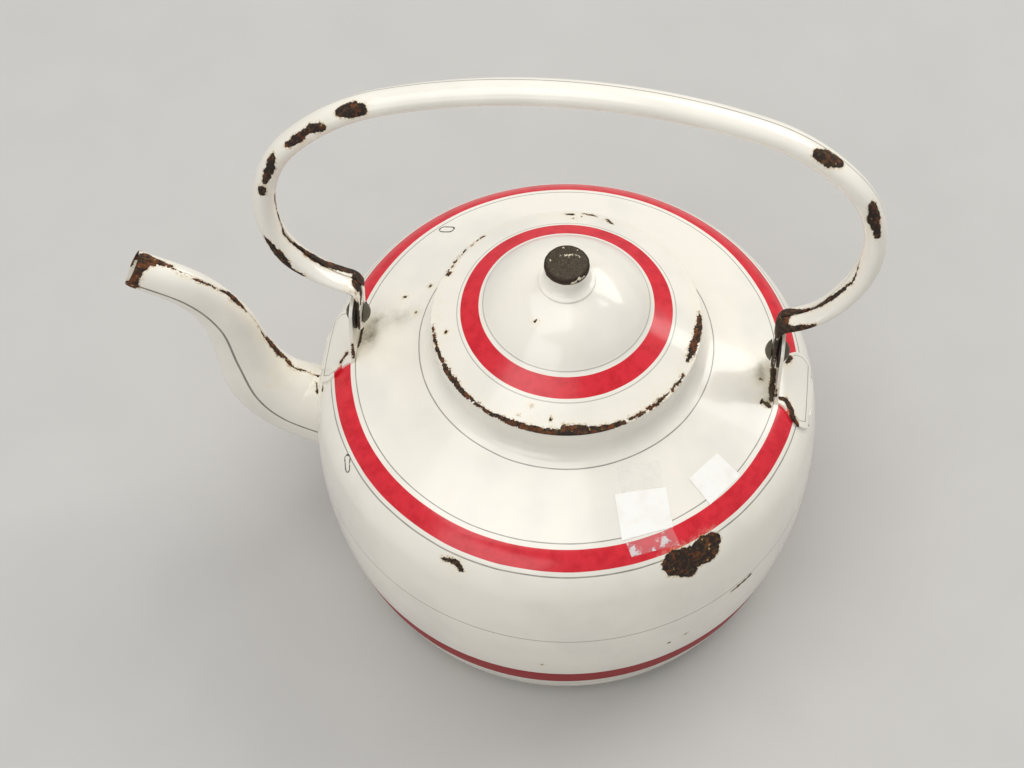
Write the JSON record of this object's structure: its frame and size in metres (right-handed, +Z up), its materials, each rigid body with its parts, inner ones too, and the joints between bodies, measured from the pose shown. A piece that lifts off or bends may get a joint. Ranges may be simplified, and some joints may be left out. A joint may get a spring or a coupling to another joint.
{
  "type": "stovetop kettle",
  "caption": "Enamelled steel stovetop kettle with a squat round body, swan-neck spout, brimmed lift-off lid with hollow knob, and a swing bail riveted to two ears.",
  "frame": {"origin": "centre of the flat base, on the surface the kettle stands on", "axes": "+Z up along the body's axis; the spout points along -X; the bail's pivot line is parallel to X; the pictured side faces -Y"},
  "size_m": [0.3624, 0.2552, 0.3085],
  "materials": {
    "body_enamel": "glossy ivory enamel, red bands, fine grey lines, rust-brown chips",
    "spout_enamel": "glossy ivory enamel, worn brown at seam and mouth",
    "lid_enamel": "glossy ivory enamel with a red band, chipped brim",
    "bail_enamel": "glossy ivory enamel with brown chips",
    "ear_enamel": "glossy enamel, rusty edges",
    "knob_cap_bare": "worn dark, flecks of enamel left",
    "rivet_steel": "dull dark steel"
  },
  "bodies": {
    "kettle": {"base_pan": "body_enamel", "body_shell": "body_enamel", "spout_front": "spout_enamel", "spout_back": "spout_enamel", "ear_left": "ear_enamel", "ear_right": "ear_enamel", "washer_left": "rivet_steel", "washer_right": "rivet_steel", "rivet_left": "rivet_steel", "rivet_right": "rivet_steel"},
    "bail": {"bail": "bail_enamel"},
    "lid": {"lid_shell": "lid_enamel", "lid_spigot": "lid_enamel", "knob_stem": "lid_enamel", "knob_cap": "knob_cap_bare", "knob_rivet": "rivet_steel"}
  },
  "joints": [
    {"name": "bail_swing", "type": "hinge", "parent": "kettle", "child": "bail", "pos_m": [0, 0, 0.16913], "axis": [1, 0, 0], "range_deg": [-92, 120]},
    {"name": "lid_lift", "type": "slide", "parent": "kettle", "child": "lid", "axis": [0, 0, 1], "range_m": [0, 0.06]}
  ]
}
